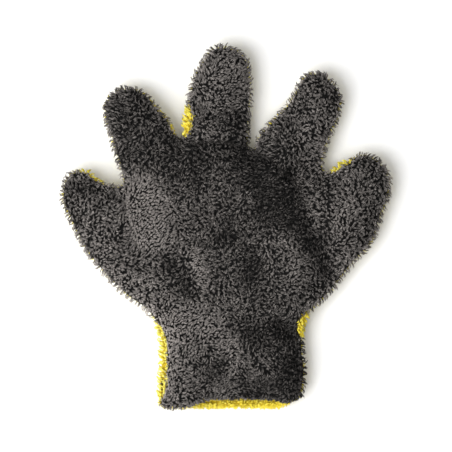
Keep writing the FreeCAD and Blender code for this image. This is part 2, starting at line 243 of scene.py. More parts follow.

# How the pile lies, with painted light and shade: the line of a patch, its half width, and how far it
# lies away from the light (positive, and painted paler) or towards it (negative, and painted darker).
NAP_AND_PAINTED_SHADE = [
    ([(-61.0, 22.0), (-55.0, -6.0)], 13.0, 1.9),
    ([(-92.5, -17.5), (-44.5, -77.0)], 9.0, 0.95),
    ([(-40.0, -76.0), (-42.0, -128.0)], 13.0, 1.15),
    ([(-24.0, -22.0), (-18.0, -44.0)], 4.5, 1.4),
    ([(-24.0, -62.0), (2.0, -92.0)], 8.0, 1.0),
    ([(46.0, -24.0), (46.0, -33.0)], 9.0, 0.6),
    ([(40.0, -8.0), (42.0, -10.0)], 5.0, 0.7),
    ([(-8.0, 100.0), (1.0, 114.0)], 13.0, 0.95),
    ([(66.5, 95.0), (64.0, 64.0)], 6.0, 0.5),
    ([(88.0, 22.0), (92.0, -10.0)], 11.0, 0.6),
    ([(-108.0, 14.0), (-90.0, 6.0)], 8.0, 0.5),
    ([(31.0, 35.0), (42.0, 16.0)], 13.0, -1.6),
    ([(55.5, 1.0), (74.0, -32.0)], 6.0, -1.2),
    ([(4.0, 82.0), (16.0, 52.0)], 8.0, -0.8),
    ([(-34.0, 42.0), (0.0, 48.0)], 12.0, -0.65),
    ([(-66.0, 55.0), (-66.0, 58.0)], 7.0, -0.6),
    ([(-70.0, 92.0), (-44.0, 52.0)], 12.0, -0.5),
    ([(-38.0, -27.0), (-22.0, -48.0)], 4.5, -1.3),
    ([(21.5, -31.0), (21.5, -37.0)], 8.0, -1.1),
    ([(37.0, -75.0), (55.0, -76.0)], 7.0, -1.2),
    ([(52.0, -90.0), (48.0, -128.0)], 12.0, -1.2),
    ([(18.5, -72.0), (20.0, -86.0)], 6.0, -0.8),
    ([(2.0, -11.0), (2.0, -17.0)], 10.0, -0.4),
    ([(-7.0, -106.0), (-5.0, -110.0)], 7.0, -0.8),
    ([(-107.0, 27.0), (-75.0, 25.0)], 4.0, -0.5),
    ([(104.0, 2.0), (103.0, -6.0)], 6.0, -0.3),
    # The next four are narrow lines of painted shade along creases, with a band of painted light just
    # above the middle finger's root.
    ([(-20.0, 61.5), (0.0, 62.5), (17.0, 59.0)], 1.9, -1.5),
    ([(-16.0, 67.0), (12.0, 67.5)], 2.2, 0.5),
    ([(21.0, 57.0), (36.0, 48.5), (47.0, 37.0)], 1.9, -1.0),
    ([(-45.5, -22.5), (-24.0, -51.0)], 1.8, -0.8),
    ([(2.0, -121.0), (50.0, -121.0)], 7.0, -0.6),
]
LIGHT_FROM = (-0.86, -0.5)


def ease(x):
    """0 below 0, 1 above 1, and a smooth step between."""
    x = np.clip(x, 0, 1)
    return x * x * (3 - 2 * x)


def unit(vectors):
    return vectors / np.maximum(np.linalg.norm(vectors, axis=-1, keepdims=True), 1e-9)


def spread(points, step):
    """Points at even steps along an open line."""
    points = np.asarray(points, float)
    gone = np.r_[0, np.cumsum(np.linalg.norm(np.diff(points, axis=0), axis=1))]
    count = max(2, int(round(gone[-1] / step)) + 1)
    at = np.linspace(0, gone[-1], count)
    return np.column_stack([np.interp(at, gone, points[:, i]) for i in range(points.shape[1])])


def smooth_line(points, per_span=14):
    """A centripetal Catmull-Rom curve through the points."""
    p = np.asarray(points, float)
    p = np.vstack([2 * p[0] - p[1], p, 2 * p[-1] - p[-2]])
    out = []
    for i in range(1, len(p) - 2):
        knots = [0.0]
        for a, b in zip(p[i - 1 : i + 2], p[i : i + 3]):
            knots.append(knots[-1] + np.linalg.norm(b - a) ** 0.5)
        t = np.linspace(knots[1], knots[2], per_span, endpoint=False)[:, None]
        k0, k1, k2, k3 = knots
        a1 = (k1 - t) / (k1 - k0) * p[i - 1] + (t - k0) / (k1 - k0) * p[i]
        a2 = (k2 - t) / (k2 - k1) * p[i] + (t - k1) / (k2 - k1) * p[i + 1]
        a3 = (k3 - t) / (k3 - k2) * p[i + 1] + (t - k2) / (k3 - k2) * p[i + 2]
        b1 = (k2 - t) / (k2 - k0) * a1 + (t - k0) / (k2 - k0) * a2
        b2 = (k3 - t) / (k3 - k1) * a2 + (t - k1) / (k3 - k1) * a3
        out.append((k2 - t) / (k2 - k1) * b1 + (t - k1) / (k2 - k1) * b2)
    out.append(p[-2][None])
    return np.vstack(out)


def finger_frame(name):
    """A finger's fold point, its direction outwards and its direction to the right, in the plane."""
    joint = JOINTS.get(name + "_root_fold") or JOINTS[name + "_fold"]
    root = np.array(joint["pos_m"][:2]) / MM
    right = np.array(joint["axis"][:2])
    right = right / np.linalg.norm(right)
    return root, np.array([-right[1], right[0]]), right


def finger_place(name, points):
    """Points of a finger's own frame, in the plane of the glove."""
    root, out, right = finger_frame(name)
    return [root + s * out + t * right for s, t in points]


def silhouette():
    """The outline with its pile, from the cuff's left end round the fingers to its right end."""
    points = [np.array(p) for p in LEFT_SIDE]
    for i, (name, finger) in enumerate(FINGERS.items()):
        points += finger_place(name, finger["left"] + [finger["tip"]] + finger["right"])
        if i < len(WEBS):
            points.append(np.array(WEBS[i]))
    points += [np.array(p) for p in RIGHT_SIDE]
    return spread(smooth_line(points), 1.2)


def nearest(points, line):
    """Distance from each point to a line, and the nearest place on it."""
    best = np.full(len(points), 1e9)
    place = np.zeros((len(points), 2))
    for a, b in zip(line[:-1], line[1:]):
        ab = b - a
        t = np.clip(((points - a) @ ab) / max(ab @ ab, 1e-12), 0, 1)
        at = a + t[:, None] * ab
        d = np.einsum("ij,ij->i", points - at, points - at)
        closer = d < best
        best[closer] = d[closer]
        place[closer] = at[closer]
    return np.sqrt(best), place


def inside(points, loop):
    """Which points lie inside a closed loop."""
    found = np.zeros(len(points), bool)
    x, y = points[:, 0], points[:, 1]
    for (ax, ay), (bx, by) in zip(loop, np.roll(loop, -1, axis=0)):
        if ay == by:
            continue
        crosses = (ay > y) != (by > y)
        found ^= crosses & (x < (bx - ax) * (y - ay) / (by - ay) + ax)
    return found


def mouth_height(x):
    """The lower edge of the cloth rises a little at its two ends."""
    return MOUTH + 7.0 * ease((x - 38) / 17) + 1.2 * ease((-40 - x) / 12)


def seam_line(outline):
    """The side seam: the outline moved in by the reach of the pile."""
    along = np.gradient(outline, axis=0)
    along /= np.linalg.norm(along, axis=1)[:, None]
    moved = outline + PILE_REACH * np.column_stack([along[:, 1], -along[:, 0]])
    far, _ = nearest(moved, outline)
    line = moved[far > PILE_REACH - 0.12]
    line = line[line[:, 1] > mouth_height(line[:, 0]) + 0.4 * CELL]
    ends = [np.array([x, mouth_height(x)]) for x in (line[0][0], line[-1][0])]
    return spread(np.vstack([ends[0], line, ends[1]]), 0.92 * CELL)


def flat_panel():
    """The flat cloth: its seam, points, triangles, and the points on the seam and on the mouth."""
    rng = np.random.default_rng(11)
    seam = seam_line(silhouette())
    mouth = spread([seam[-1], seam[0]], CELL)[1:-1]
    mouth[:, 1] = mouth_height(mouth[:, 0])
    loop = np.vstack([seam, mouth])
    low, high = loop.min(0), loop.max(0)
    rows = np.arange(low[1], high[1], CELL * math.sqrt(3) / 2)
    grid = [
        (x + (i % 2) * CELL / 2, y)
        for i, y in enumerate(rows)
        for x in np.arange(low[0], high[0], CELL)
    ]
    grid = np.array(grid)
    grid += rng.uniform(-JITTER, JITTER, grid.shape) * CELL
    grid = grid[inside(grid, loop)]
    far, _ = nearest(grid, np.vstack([loop, loop[:1]]))
    grid = grid[far > 0.72 * CELL]
    points = np.vstack([loop, grid])
    edges = [(i, (i + 1) % len(loop)) for i in range(len(loop))]
    made = delaunay_2d_cdt([Vector(p) for p in points], edges, [], 1, 1e-4)
    flat = np.array([tuple(p) for p in made[0]])
    triangles = np.array(made[2])
    a, b, c = (flat[triangles[:, i]] for i in range(3))
    turn = (b[:, 0] - a[:, 0]) * (c[:, 1] - a[:, 1]) - (b[:, 1] - a[:, 1]) * (c[:, 0] - a[:, 0])
    triangles[turn < 0] = triangles[turn < 0][:, ::-1]
    on_seam = np.arange(len(seam))
    on_mouth = np.r_[len(seam) - 1, np.arange(len(seam), len(loop)), 0]
    return seam, flat, triangles, on_seam, on_mouth


def crown(far):
    """Rise of a puffed cloth, 0 at the seam and 1 from CROWN_WIDTH on."""
    share = np.clip(far / CROWN_WIDTH, 0, 1)
    return np.sqrt(np.clip(1 - (1 - share) ** 2, 0, 1))


def shaping(points, far):
    """Height of the listed swellings and creases."""
    height = np.zeros(len(points))
    for line, width, rise in SHAPES:
        d, _ = nearest(points, np.array(line, float))
        height += rise * np.exp(-0.5 * (d / width) ** 2)
    return SHAPE_SCALE * height * ease((far - 1) / 9)


def rolled(points):
    """How far the yellow cloth rolls up round the seam at each point."""
    amount = np.zeros(len(points))
    for centre, radius, reach in ROLLS:
        d = np.linalg.norm(points - np.array(centre), axis=1)
        amount = np.maximum(amount, reach * (1 - ease((d / radius - 0.45) / 0.8)))
    return amount


def relax(values, triangles, rounds):
    """Evens values out over the mesh."""
    edges = np.vstack([triangles[:, [0, 1]], triangles[:, [1, 2]], triangles[:, [2, 0]]])
    edges = np.vstack([edges, edges[:, ::-1]])
    count = np.bincount(edges[:, 0], minlength=len(values))
    for _ in range(rounds):
        total = np.bincount(edges[:, 0], weights=values[edges[:, 1]], minlength=len(values))
        values = 0.5 * values + 0.5 * total / np.maximum(count, 1)
    return values


def gathers(points):
    """Small waves that the elastic draws up in the cuff."""
    near = 1 - ease((points[:, 1] - MOUTH) / 34)
    x = points[:, 0]
    wave = np.sin(x / 3.1) + 0.6 * np.sin(x / 1.9 + 1.3) + 0.5 * np.sin(x / 5.3 + 0.4)
    return near * wave


def inward_from(seam, flat, place):
    """Direction from the seam to each point, given the seam's nearest place; across the seam on it."""
    inward = flat - place
    length = np.linalg.norm(inward, axis=1)
    tiny = length < 0.1
    inward[~tiny] /= length[~tiny][:, None]
    for i in np.nonzero(tiny)[0]:
        k = int(np.argmin(np.linalg.norm(seam - flat[i], axis=1)))
        along = seam[min(k + 1, len(seam) - 1)] - seam[max(k - 1, 0)]
        inward[i] = np.array([along[1], -along[0]]) / np.linalg.norm(along)
    return inward


def puffed():
    """Both cloths in space, at rest, before the simulation."""
    seam, flat, triangles, on_seam, on_mouth = flat_panel()
    far, place = nearest(flat, seam)
    inward = inward_from(seam, flat, place)
    roll = rolled(place) * ease((flat[:, 1] - MOUTH) / 6 + 0.5)
    share = np.clip(1 - far / ROLL_WIDTH, 0, 1)
    top_arc = far + roll * share
    low_arc = -far + roll * share
    grey = flat + inward * (np.abs(top_arc) - far)[:, None]
    yellow = flat + inward * (np.abs(low_arc) - far)[:, None]
    shape = shaping(flat, far)
    height = GREY_RISE * crown(top_arc) + shape
    height = relax(height, triangles, EVEN_ROUNDS)
    height[on_seam] = GREY_RISE * crown(top_arc[on_seam])
    below = -YELLOW_DROP * crown(np.abs(low_arc))
    below = relax(below, triangles, EVEN_ROUNDS)
    below = np.where(low_arc > 0, GREY_RISE * crown(np.abs(low_arc)), below)
    below[on_seam] = height[on_seam]
    mouth_share = 1 - ease((flat[:, 1] - MOUTH) / MOUTH_FADE)
    inner = ease(far / 14)
    height += (0.6 * mouth_share + GREY_WAVE * gathers(flat)) * inner
    below += (0.3 * mouth_share - YELLOW_WAVE * gathers(flat)) * inner
    short = GREY_SHORT * ease((flat[:, 0] + 34) / 26) * ease((50 - flat[:, 0]) / 14)
    grey[:, 1] += short * mouth_share * inner
    grey = np.column_stack([grey, MIDDLE + height])
    yellow = np.column_stack([yellow, np.maximum(MIDDLE + below, FLOOR_CLEAR)])
    return seam, flat, far, triangles, on_seam, on_mouth, grey, yellow


def new_mesh(name, points, faces):
    """A mesh object from points in millimetres."""
    mesh = bpy.data.meshes.new(name)
    points = np.asarray(points, np.float32) * MM
    faces = np.asarray(faces, np.int32)
    sides = faces.shape[1]
    mesh.vertices.add(len(points))
    mesh.vertices.foreach_set("co", points.ravel())
    mesh.loops.add(faces.size)
    mesh.loops.foreach_set("vertex_index", faces.ravel())
    mesh.polygons.add(len(faces))
    mesh.polygons.foreach_set("loop_start", np.arange(0, faces.size, sides, dtype=np.int32))
    mesh.update(calc_edges=True)
    mesh.polygons.foreach_set("use_smooth", np.ones(len(faces), bool))
    obj = bpy.data.objects.new(name, mesh)
    bpy.context.scene.collection.objects.link(obj)
    return obj


def inflate(grey, yellow, triangles, on_seam, on_mouth):
    """Cloth simulation of the whole glove: the two cloths share the seam and are blown up a little."""
    count = len(grey)
    to_yellow = np.arange(count, 2 * count)
    to_yellow[on_seam] = on_seam
    used = np.unique(np.r_[np.arange(count), to_yellow])
    place = np.full(2 * count, -1)
    place[used] = np.arange(len(used))
    points = np.vstack([grey, yellow])[used]
    faces = np.vstack([triangles, place[to_yellow[triangles][:, ::-1]]])
    shell = new_mesh("shell", points * CLOTH_SCALE, faces)
    held = shell.vertex_groups.new(name="held")
    fixed = np.unique(np.r_[on_seam, on_mouth, place[to_yellow[on_mouth]]])
    held.add([int(i) for i in fixed], 1.0, "REPLACE")
    cloth = shell.modifiers.new("cloth", "CLOTH")
    cloth.settings.vertex_group_mass = "held"
    cloth.settings.quality = 5
    cloth.settings.mass = 0.3
    cloth.settings.tension_stiffness = 15
    cloth.settings.compression_stiffness = 15
    cloth.settings.shear_stiffness = 5
    cloth.settings.bending_stiffness = 0.4
    cloth.settings.shrink_min = -0.035
    cloth.settings.use_pressure = True
    cloth.settings.uniform_pressure_force = 1.2
    cloth.settings.effector_weights.gravity = 0
    cloth.collision_settings.use_collision = False
    cloth.point_cache.frame_start = 1
    cloth.point_cache.frame_end = CLOTH_FRAMES
    for number in range(1, CLOTH_FRAMES + 1):
        bpy.context.scene.frame_set(number)
    seen = shell.evaluated_get(bpy.context.evaluated_depsgraph_get())
    moved = np.zeros(len(points) * 3)
    seen.data.vertices.foreach_get("co", moved)
    moved = moved.reshape(-1, 3) / MM / CLOTH_SCALE - points
    size = np.linalg.norm(moved, axis=1)
    moved *= (MOST_MOVE * np.tanh(size / MOST_MOVE) / np.maximum(size, 1e-9))[:, None]
    bpy.context.scene.frame_set(1)
    bpy.data.objects.remove(shell)
    points = points + moved
    grey = points[:count]
    yellow = points[place[to_yellow]]
    yellow[:, 2] = np.maximum(yellow[:, 2], FLOOR_CLEAR)
    return grey, yellow


def point_normals(points, triangles):
    """Outward directions at the points, longer where the faces round them are larger."""
    a, b, c = (points[triangles[:, i]] for i in range(3))
    face = np.cross(b - a, c - a)
    normals = np.zeros_like(points)
    for i in range(3):
        for axis in range(3):
            normals[:, axis] += np.bincount(triangles[:, i], face[:, axis], len(points))
    return normals


def section_of(points):
    """The name of the section each flat point lies in."""
    names = np.full(len(points), "palm", dtype=object)
    best = np.full(len(points), 1.12)
    for name, finger in FINGERS.items():
        root, out, right = finger_frame(name)
        s = (points - root) @ out
        t = (points - root) @ right
        low, high = finger["sides"]
        aside = np.abs(t - (low + high) / 2) / ((high - low) / 2)
        aside = np.where(s > 12, aside * 0.8, aside)
        take = (s > finger["bend"][0]) & (aside < best)
        best[take] = aside[take]
        if "mid_bend" in finger:
            border = (finger["bend"][1] + finger["mid_bend"][0]) / 2
            names[take & (s <= border)] = name + "_root"
            names[take & (s > border)] = name + "_tip"
        else:
            names[take] = name
    return names


def attach(piece, section):
    """Ties a palm piece to the palm's body; a piece of any other section only has its placement applied
    to its points.
    """
    if section == "palm":
        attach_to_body(piece, "palm")
        return
    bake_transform(piece)


def part_of(points, triangles, chosen):
    """The chosen triangles with only the points they use."""
    used, faces = np.unique(triangles[chosen], return_inverse=True)
    return points[used], faces.reshape(-1, 3)


def nap_and_painted_shade_of(points):
    """How far the pile lies away from the light (1) or towards it (-1) at each point; the same value
    also paints light and shade into the strands.
    """
    lie_and_shade = np.zeros(len(points))
    for line, width, way in NAP_AND_PAINTED_SHADE:
        d, _ = nearest(points, np.array(line, float))
        lie_and_shade += way * np.exp(-0.5 * (d / width) ** 2)
    return np.clip(lie_and_shade, *NAP_AND_SHADE_LIMITS)


def comb(points, lie_and_shade, rng):
    """Direction in the plane in which the pile lies: slow swirls, turned by the patches of its lie."""
    swirl = np.random.default_rng(5)
    angle = np.zeros(len(points))
    for _ in range(SWIRLS):
        length = swirl.uniform(*SWIRL_LENGTH)
        turn = swirl.uniform(0, 2 * math.pi)
        k = 2 * math.pi / length * np.array([math.cos(turn), math.sin(turn)])
        angle += SWIRL_TURN * np.sin(points @ k + swirl.uniform(0, 2 * math.pi))
    angle += rng.normal(0, LIE_SCATTER, len(points)) + LIE
    lay = np.column_stack([np.cos(angle), np.sin(angle)])
    lie_and_shade = lie_and_shade[:, None]
    lay = lay * np.maximum(1 - 0.45 * np.abs(lie_and_shade), 0.4) - lie_and_shade * np.array(LIGHT_FROM)
    return np.column_stack([lay, np.zeros(len(points))])


def locks(out, flat_points, short):
    """The locks of pile at the cloth's points: the way each lies, its lean, its length and its
    brightness, which carries the painted light and shade of the pile's lie.
    """
    rng = np.random.default_rng(LOCK_SEED)
    count = len(out)
    lie_and_shade = nap_and_painted_shade_of(flat_points)
    lay = comb(flat_points, lie_and_shade, rng) + rng.normal(0, LAY_SCATTER, (count, 3))
    lay -= out * np.einsum("ij,ij->i", lay, out)[:, None]
    lay /= np.maximum(np.linalg.norm(lay, axis=1), 0.2)[:, None]
    lean = np.radians(rng.uniform(*LOCK_LEAN, count))
    length = short * PILE_LENGTH * rng.uniform(*LOCK_LENGTH, count)
    for web in WEBS:
        near = np.linalg.norm(flat_points - np.array(web), axis=1)
        length *= WEB_PILE + (1 - WEB_PILE) * ease((near - 2) / 9)
    # Painted light and shade: where the pile lies away from the light the lock is paler, and where it
    # lies towards the light it is darker.
    tone_and_shade = 0.5 + (rng.uniform(-LOCK_TONE, LOCK_TONE, count) + NAP_PAINTED_SHADE * lie_and_shade)
    return lay, lean, length, tone_and_shade


def leaning(up, lay, lean, length):
    """The way from each root to its tip."""
    return length[:, None] * (up * np.cos(lean)[:, None] + lay * np.sin(lean)[:, None])


def tubes(root, bend, tip, side, radius, twist):
    """Three-sided tapering tubes along curves, and how far along its tube each point is."""
    made, along = [], []
    for t, wide in STRAND_RINGS:
        centre = (1 - t) ** 2 * root + 2 * t * (1 - t) * bend + t * t * tip
        path = 2 * (1 - t) * (bend - root) + 2 * t * (tip - bend)
        path /= np.maximum(np.linalg.norm(path, axis=1), 1e-6)[:, None]
        across = np.cross(path, side)
        for corner_turn in (0, 2 * math.pi / 3, 4 * math.pi / 3):
            a = twist + corner_turn
            made.append(centre + radius * wide * (np.cos(a) * side + np.sin(a) * across))
            along.append(t)
    made.append(tip)
    along.append(1.0)
    made = np.stack(made, axis=1)
    made[:, :, 2] = np.maximum(made[:, :, 2], LEAST_HEIGHT)
    faces = []
    for a, b in ((0, 1), (1, 2), (2, 0)):
        faces += [(a, b, b + 3), (a, b + 3, a + 3), (a + 3, b + 3, 6)]
    faces = np.array(faces)[None] + (np.arange(len(tip)) * made.shape[1])[:, None, None]
    return made, faces, np.array(along)


def strands(cloth, flat_points, triangles, seed, per_cell, thick, short=1.0, pale=0.0):
    """Pile on the triangles: curved tapering strands, drawn together in locks at the cloth's points."""
    points, normals = cloth
    rng = np.random.default_rng(seed)
    out = unit(normals)
    lay, lean, length, lock_tone_and_shade = locks(out, flat_points, short)
    lock_tip = points + leaning(out, lay, lean, length)
    cells = np.repeat(np.arange(len(triangles)), per_cell)
    n = len(cells)
    share = rng.dirichlet((1.0, 1.0, 1.0), n)
    corner = triangles[cells]
    lock = corner[np.arange(n), np.argmax(share + rng.normal(0, 0.12, share.shape), axis=1)]
    root = np.einsum("ij,ijk->ik", share, points[corner])
    up = np.einsum("ij,ijk->ik", share, out[corner])
    up /= np.linalg.norm(up, axis=1)[:, None]
    own = root + leaning(up, lay[lock], lean[lock], length[lock])
    clump = rng.uniform(*CLUMP, n)[:, None]
    tip = own * (1 - clump) + lock_tip[lock] * clump
    tip += rng.normal(0, TIP_SCATTER, (n, 3))
    rise = length[lock][:, None] * rng.uniform(*BEND_HEIGHT, (n, 1))
    bend = root + up * rise + rng.normal(0, BEND_SCATTER, (n, 3))
    bend += BEND_CLUMP * (points[lock] + out[lock] * rise - bend)
    root = root - up * ROOT_DEPTH
    side = np.cross(tip - root, up)
    side /= np.maximum(np.linalg.norm(side, axis=1), 1e-6)[:, None]
    radius = thick * rng.uniform(0.8, 1.2, (n, 1)) / 2
    twist = rng.uniform(0, 2 * math.pi / 3, (n, 1))
    made, faces, along = tubes(root, bend, tip, side, radius, twist)
    # Painted light: near the seam a strand reaches its tip colour nearer its root.
    pale = np.broadcast_to(pale, len(points))[lock]
    along = np.minimum(along + pale[:, None], 1)
    tone_and_shade = lock_tone_and_shade[lock] + rng.uniform(-STRAND_TONE, STRAND_TONE, n)
    tone_and_shade = np.repeat(tone_and_shade, made.shape[1])
    return made.reshape(-1, 3), faces.reshape(-1, 3), along.ravel(), tone_and_shade


def set_values(obj, name, values):
    obj.data.attributes.new(name, "FLOAT", "POINT").data.foreach_set(
        "value", np.asarray(values, np.float32)
    )


def material(name, viewport):
    made = bpy.data.materials.new(name)
    made.use_nodes = True
    made.diffuse_color = (*viewport, 1)
    tree = made.node_tree
    return made, tree.nodes, tree.links, tree.nodes["Principled BSDF"]


def add_node(nodes, kind, inputs=None, **settings):
    """A shader node with its settings and the values of its inputs."""
    node = nodes.new(kind)
    for name, value in settings.items():
        setattr(node, name, value)
    for name, value in (inputs or {}).items():
        node.inputs[name].default_value = value
    return node


def plush_material(name, root_colour, tip_colours, sheen_tint):
    """Fibres painted darker at their roots as the shade between them, each lock a slightly different
    brightness that also carries painted light and shade, in soft patches.
    """
    made, nodes, links, shader = material(name, tip_colours[0])
    along = add_node(nodes, "ShaderNodeAttribute", attribute_name="along")
    tone_and_shade = add_node(nodes, "ShaderNodeAttribute", attribute_name="tone_and_shade")
    place = add_node(nodes, "ShaderNodeTexCoord")
    patch = add_node(nodes, "ShaderNodeTexNoise", {"Scale": 55, "Detail": 2})
    mixed = add_node(nodes, "ShaderNodeMath", {1: 0.9}, operation="MULTIPLY_ADD")
    lowered = add_node(nodes, "ShaderNodeMath", {1: 0.45}, operation="SUBTRACT")
    scaled = add_node(nodes, "ShaderNodeMath", {1: 1 / TONE_RANGE}, operation="MULTIPLY")
    dark, pale = ((*colour, 1) for colour in tip_colours)
    tips = add_node(nodes, "ShaderNodeMix", data_type="RGBA")
    tips.inputs["A"].default_value = dark
    tips.inputs["B"].default_value = pale
    # Painted shade: along each strand the colour runs from the dark root colour to its tip colour.
    whole = add_node(nodes, "ShaderNodeMix", data_type="RGBA")
    whole.inputs["A"].default_value = (*root_colour, 1)
    ramp = add_node(nodes, "ShaderNodeMapRange", {"From Min": 0.35, "From Max": 1.0})
    fibre = add_node(nodes, "ShaderNodeTexNoise", {"Scale": 2600, "Detail": 1})
    bump = add_node(nodes, "ShaderNodeBump", {"Strength": 0.35, "Distance": 0.0002})
    links.new(place.outputs["Object"], patch.inputs["Vector"])
    links.new(patch.outputs["Fac"], mixed.inputs[0])
    links.new(tone_and_shade.outputs["Fac"], lowered.inputs[0])
    links.new(lowered.outputs[0], mixed.inputs[2])
    links.new(mixed.outputs[0], scaled.inputs[0])
    links.new(scaled.outputs[0], tips.inputs["Factor"])
    links.new(along.outputs["Fac"], ramp.inputs["Value"])
    links.new(ramp.outputs["Result"], whole.inputs["Factor"])
    links.new(tips.outputs["Result"], whole.inputs["B"])
    links.new(whole.outputs["Result"], shader.inputs["Base Color"])
    links.new(place.outputs["Object"], fibre.inputs["Vector"])
    links.new(fibre.outputs["Fac"], bump.inputs["Height"])
    links.new(bump.outputs["Normal"], shader.inputs["Normal"])
    shader.inputs["Roughness"].default_value = 0.85
    shader.inputs["Specular IOR Level"].default_value = 0.15
    shader.inputs["Sheen Weight"].default_value = 0.05
    shader.inputs["Sheen Roughness"].default_value = 0.45
    shader.inputs["Sheen Tint"].default_value = (*sheen_tint, 1)
    return made


def knit_material(name, low, high, scale):
    """A close knit, in ribs between two colours."""
    made, nodes, links, shader = material(name, high)
    place = add_node(nodes, "ShaderNodeTexCoord")
    rib = add_node(nodes, "ShaderNodeTexWave", {"Scale": scale, "Distortion": 1.5, "Detail": 1})
    mix = add_node(nodes, "ShaderNodeMix", data_type="RGBA")
    mix.inputs["A"].default_value = (*low, 1)
    mix.inputs["B"].default_value = (*high, 1)
    bump = add_node(nodes, "ShaderNodeBump", {"Strength": 0.4, "Distance": 0.0003})
    links.new(place.outputs["Object"], rib.inputs["Vector"])
    links.new(rib.outputs["Fac"], mix.inputs["Factor"])
    links.new(mix.outputs["Result"], shader.inputs["Base Color"])
    links.new(rib.outputs["Fac"], bump.inputs["Height"])
    links.new(bump.outputs["Normal"], shader.inputs["Normal"])
    shader.inputs["Roughness"].default_value = 0.9
    shader.inputs["Specular IOR Level"].default_value = 0.2
    return made


def plain_material(name, colour):
    made, _, _, shader = material(name, colour)
    shader.inputs["Base Color"].default_value = (*colour, 1)
    shader.inputs["Roughness"].default_value = 0.85
    return made


def paint(obj, made, plain):
    """The plain colour goes on the mesh and the full material on the object."""
    obj.data.materials.append(plain)
    obj.material_slots[0].link = "OBJECT"
    obj.material_slots[0].material = made


# Each look: its material and its plain colour. The two plushes have the cloth under the pile as well,
# much darker than their pile as painted shade beneath the fibres.
looks = {
    "grey": (
        plush_material("grey_plush", GREY_ROOT_SHADE, GREY_TIP, (0.8, 0.8, 0.8)),
        plain_material("grey_plain", GREY_TIP[0]),
        # painted shade: near black under the grey pile
        knit_material("grey_ground_shade", (0.004, 0.0038, 0.0036), (0.012, 0.0115, 0.011), 700),
    ),
    "yellow": (
        plush_material("yellow_plush", YELLOW_ROOT_SHADE, YELLOW_TIP, (1.0, 0.95, 0.7)),
        plain_material("yellow_plain", YELLOW_TIP[0]),
        # painted shade: a darker yellow under the yellow pile
        knit_material("yellow_ground_shade", (0.45, 0.32, 0.01), (0.6, 0.45, 0.02), 700),
    ),
    "lining": (
        knit_material("lining_knit", (0.085, 0.078, 0.074), (0.15, 0.139, 0.132), 900),
        plain_material("lining_plain", (0.12, 0.11, 0.105)),
    ),
    "seam": (
        knit_material("seam_allowance", (0.06, 0.054, 0.05), (0.13, 0.118, 0.11), 500),
        plain_material("seam_plain", (0.1, 0.09, 0.085)),
    ),
    "elastic": (
        knit_material("elastic", (0.035, 0.035, 0.035), (0.09, 0.09, 0.09), 420),
        plain_material("elastic_plain", (0.06, 0.06, 0.06)),
    ),
    "thread": (
        knit_material("thread", (0.03, 0.028, 0.027), (0.08, 0.075, 0.072), 1500),
        plain_material("thread_plain", (0.05, 0.047, 0.045)),
    ),
}


def strip_faces(rows, columns, wrap=False):
    """Quads over a grid of points, row by row; wrap joins each row's ends."""
    across = columns if wrap else columns - 1
    i, j = np.meshgrid(np.arange(rows - 1), np.arange(across), indexing="ij")
    a, b = i * columns + j, i * columns + (j + 1) % columns
    return np.stack([a, b, b + columns, a + columns], axis=-1).reshape(-1, 4)


def as_triangles(quads):
    return np.vstack([quads[:, [0, 1, 2]], quads[:, [0, 2, 3]]])


def cloth_height(places, points):
    """Height of a cloth at places in the plane, from its three nearest points."""
    out = np.zeros(len(places))
    for i, place in enumerate(places):
        d = ((points[:, :2] - place) ** 2).sum(axis=1)
        near = np.argpartition(d, 3)[:3]
        weight = 1 / (d[near] + 0.05)
        out[i] = (points[near, 2] * weight).sum() / weight.sum()
    return out


def triangle_areas(points, triangles):
    a, b, c = (points[triangles[:, i]] for i in range(3))
    return np.linalg.norm(np.cross(b - a, c - a), axis=1) / 2


def crowded(base, points, triangles, flat_areas, at_edge):
    """Strands for each triangle: more where the cloth stands steep, and one more along the seam."""
    steep = np.clip(triangle_areas(points, triangles) / flat_areas, 1, 2.6)
    return np.round(base * steep).astype(int) + at_edge


def pile_on(name, section, colour, cloth, flat_points, triangles, per_cell, **pile):
    """Pile pieces over a cloth, given as its points and normals, each of few enough faces."""
    pile_look, plain, _ = looks[colour]
    order = np.argsort(flat_points[triangles[:, 0], 1], kind="stable")
    per_cell = np.broadcast_to(per_cell, len(triangles))
    parts = math.ceil(int(per_cell.sum()) * STRAND_FACES / MOST_FACES)
    pieces = []
    for number, some in enumerate(np.array_split(order, parts)):
        seed = 100 * number + sum(map(ord, name))
        made, faces, along, tone_and_shade = strands(
            cloth, flat_points, triangles[some], seed, per_cell[some], **pile
        )
        piece = new_mesh(f"{name}_pile_{number + 1}" if parts > 1 else f"{name}_pile", made, faces)
        set_values(piece, "along", along)
        set_values(piece, "tone_and_shade", tone_and_shade)
        paint(piece, pile_look, plain)
        attach(piece, section)
        pieces.append(piece)
    return pieces


def plush_cloth(section, side, colour, spots, faces):
    """One section of a plush cloth, without its pile."""
    _, plain, shaded_ground = looks[colour]
    piece = new_mesh(f"{section}_{side}_cloth", spots, faces)
    paint(piece, shaded_ground, plain)
    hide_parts(f"{section}_{side}_plush")
    attach(piece, section)
    return piece


def lining_cloth(section, side, spots, faces):
    """One section of a lining."""
    piece = new_mesh(f"{section}_{side}_lining_knit", spots, faces)
    paint(piece, *looks["lining"])
    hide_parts(f"{section}_{side}_lining")
    attach(piece, section)
    return piece


